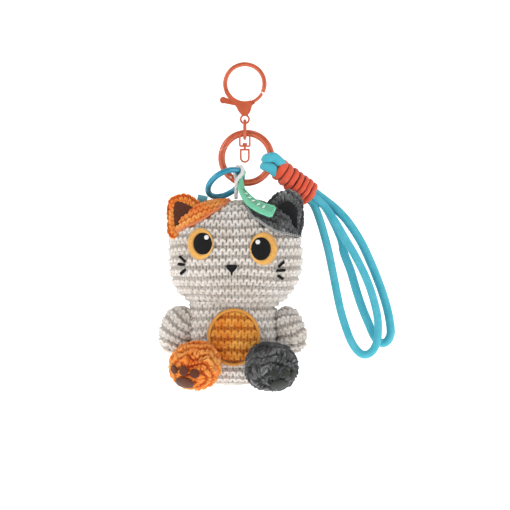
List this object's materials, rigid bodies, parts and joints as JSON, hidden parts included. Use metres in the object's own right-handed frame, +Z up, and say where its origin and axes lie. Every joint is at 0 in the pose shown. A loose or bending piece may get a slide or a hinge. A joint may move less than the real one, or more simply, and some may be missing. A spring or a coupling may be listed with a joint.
{
  "type": "plush keychain",
  "caption": "Knitted cat plush hung by a cord loop from a spring ring, with a key ring, a swivel, a lobster clasp and a bound double cord wrist strap.",
  "frame": {"origin": "highest point inside the clasp's ring, where the keychain hangs from a hook", "axes": "+Z up, the cat faces -Y, +X to the right as seen from the front"},
  "size_m": [0.1337, 0.0729, 0.1831],
  "materials": {
    "coral_metal": "semi-gloss coral paint",
    "teal_metal": "semi-gloss teal paint",
    "steel": "bright steel",
    "cyan_cord": "woven round cord",
    "coral_cord": "woven round cord, tightly wound",
    "white_cord": "thin braided cord",
    "mint_silicone": "matt silicone",
    "white_print": "matt white raised silicone",
    "label_ribbon": "woven ribbon",
    "cream_knit": "chunky knitted yarn",
    "orange_knit": "chunky knitted yarn",
    "grey_knit": "chunky heathered knitted yarn",
    "mustard_knit": "knitted yarn",
    "embroidery_yellow": "satin-stitch embroidery",
    "embroidery_black": "satin-stitch embroidery",
    "embroidery_white": "satin-stitch embroidery",
    "seam_orange": "embroidered edge",
    "seam_grey": "embroidered edge",
    "brown_felt": "felt",
    "black_felt": "felt",
    "green_felt": "felt",
    "white_thread": "sewing thread",
    "stuffing": "loose polyester fibre"
  },
  "bodies": {
    "clasp": {"clasp_body": "coral_metal", "clasp_rivet": "coral_metal", "clasp_spring": "steel"},
    "clasp_gate": {"clasp_gate": "coral_metal"},
    "link": {"chain_link": "coral_metal"},
    "swivel_bow": {"swivel_bow": "coral_metal"},
    "swivel_loop": {"swivel_loop": "coral_metal"},
    "key_ring": {"key_ring_body": "coral_metal", "key_ring_pin": "coral_metal"},
    "key_ring_gate": {"key_ring_gate": "coral_metal"},
    "spring_ring": {"spring_ring_body": "teal_metal", "spring_ring_pin": "teal_metal", "hang_loop": "white_cord"},
    "spring_ring_gate": {"spring_ring_gate": "teal_metal"},
    "tag": {"silicone_tag": "mint_silicone", "tag_marks": "white_print"},
    "cat": {"side_label": "label_ribbon", "head_shell": "cream_knit", "head_stuffing": "stuffing", "head_patch_orange": "orange_knit", "head_patch_grey": "grey_knit", "head_seam_orange": "seam_orange", "head_seam_grey": "seam_grey", "ear_left": "orange_knit", "ear_left_lining": "brown_felt", "ear_right": "grey_knit", "ear_right_lining": "black_felt", "eye_left": "embroidery_yellow", "eye_right": "embroidery_yellow", "pupil_left": "embroidery_black", "pupil_right": "embroidery_black", "eye_glints": "embroidery_white", "nose": "embroidery_black", "whiskers_left": "embroidery_black", "whiskers_right": "embroidery_black", "neck_seam": "white_thread", "body_shell": "cream_knit", "body_stuffing": "stuffing", "belly_patch": "mustard_knit", "belly_border": "embroidery_yellow", "tail": "grey_knit"},
    "arm_left": {"arm_left": "cream_knit", "arm_left_stuffing": "stuffing"},
    "arm_right": {"arm_right": "cream_knit", "arm_right_stuffing": "stuffing"},
    "leg_left": {"foot_left": "orange_knit", "foot_left_stuffing": "stuffing", "paw_pads_left": "brown_felt"},
    "leg_right": {"foot_right": "grey_knit", "foot_right_stuffing": "stuffing", "paw_pads_right": "green_felt"},
    "strap": {"strap_bight_upper": "cyan_cord", "strap_bight_lower": "cyan_cord", "strap_core": "cyan_cord", "strap_binding": "coral_cord", "strap_loop_front": "cyan_cord", "strap_loop_back": "cyan_cord"}
  },
  "joints": [
    {"name": "clasp_gate_open", "type": "hinge", "parent": "clasp", "child": "clasp_gate", "pos_m": [0, 0, -0.0227], "axis": [0, -1, 0], "range_deg": [0, 25], "stiffness_Nm_per_rad": 0.01, "springref_deg": -17.19, "deforming": ["clasp_spring"]},
    {"name": "link_swing", "type": "hinge", "parent": "clasp", "child": "link", "pos_m": [0, 0, -0.0296], "axis": [0, 1, 0], "range_deg": [-50, 50]},
    {"name": "swivel_swing", "type": "hinge", "parent": "link", "child": "swivel_bow", "pos_m": [0, -0.0028, -0.03715], "axis": [-1, 0, 0], "range_deg": [0, 50]},
    {"name": "swivel_spin", "type": "hinge", "parent": "swivel_bow", "child": "swivel_loop", "pos_m": [0, -0.0028, -0.0447], "axis": [0, 0, 1], "continuous": true},
    {"name": "key_ring_swing", "type": "hinge", "parent": "link", "child": "key_ring", "pos_m": [0, 0, -0.03734], "axis": [1, 0, 0], "range_deg": [-20, 35]},
    {"name": "key_ring_gate_open", "type": "hinge", "parent": "key_ring", "child": "key_ring_gate", "pos_m": [-0.00785, 0, -0.06204], "axis": [0, 1, 0], "range_deg": [0, 25], "stiffness_Nm_per_rad": 0.01, "springref_deg": -17.19},
    {"name": "spring_ring_swing", "type": "hinge", "parent": "key_ring", "child": "spring_ring", "pos_m": [-0.00689, 0, -0.06275], "axis": [0.8279, 0, -0.5609], "range_deg": [-8, 8]},
    {"name": "spring_ring_gate_open", "type": "hinge", "parent": "spring_ring", "child": "spring_ring_gate", "pos_m": [-0.01504, 0.00678, -0.07275], "axis": [-0.4261, 0.5498, 0.7184], "range_deg": [0, 20], "stiffness_Nm_per_rad": 0.01, "springref_deg": -17.19},
    {"name": "tag_swing", "type": "hinge", "parent": "spring_ring", "child": "tag", "pos_m": [-0.00224, -0.00063, -0.0595], "axis": [-0.3683, -0.8307, 0.4174], "range_deg": [0, 25]},
    {"name": "cat_turn", "type": "hinge", "parent": "spring_ring", "child": "cat", "pos_m": [-0.005, -0.0013, -0.0745], "axis": [0, 0, 1], "range_deg": [-6, 5]},
    {"name": "arm_left_swing", "type": "hinge", "parent": "cat", "child": "arm_left", "pos_m": [-0.0325, -0.002, -0.1355], "axis": [0, 1, 0], "range_deg": [0, 15], "stiffness_Nm_per_rad": 0.004},
    {"name": "arm_right_swing", "type": "hinge", "parent": "cat", "child": "arm_right", "pos_m": [0.0215, -0.002, -0.1355], "axis": [0, -1, 0], "range_deg": [0, 15], "stiffness_Nm_per_rad": 0.004},
    {"name": "leg_left_swing", "type": "hinge", "parent": "cat", "child": "leg_left", "pos_m": [-0.024, -0.012, -0.1656], "axis": [0, 0, 1], "range_deg": [-6, 3], "stiffness_Nm_per_rad": 0.004},
    {"name": "leg_right_swing", "type": "hinge", "parent": "cat", "child": "leg_right", "pos_m": [0.0115, -0.012, -0.1664], "axis": [0, 0, 1], "range_deg": [-3, 6], "stiffness_Nm_per_rad": 0.004},
    {"name": "strap_swing", "type": "hinge", "parent": "key_ring", "child": "strap", "pos_m": [0.01474, 0, -0.05255], "axis": [0.279, 0, 0.9603], "range_deg": [-3, 20]}
  ]
}
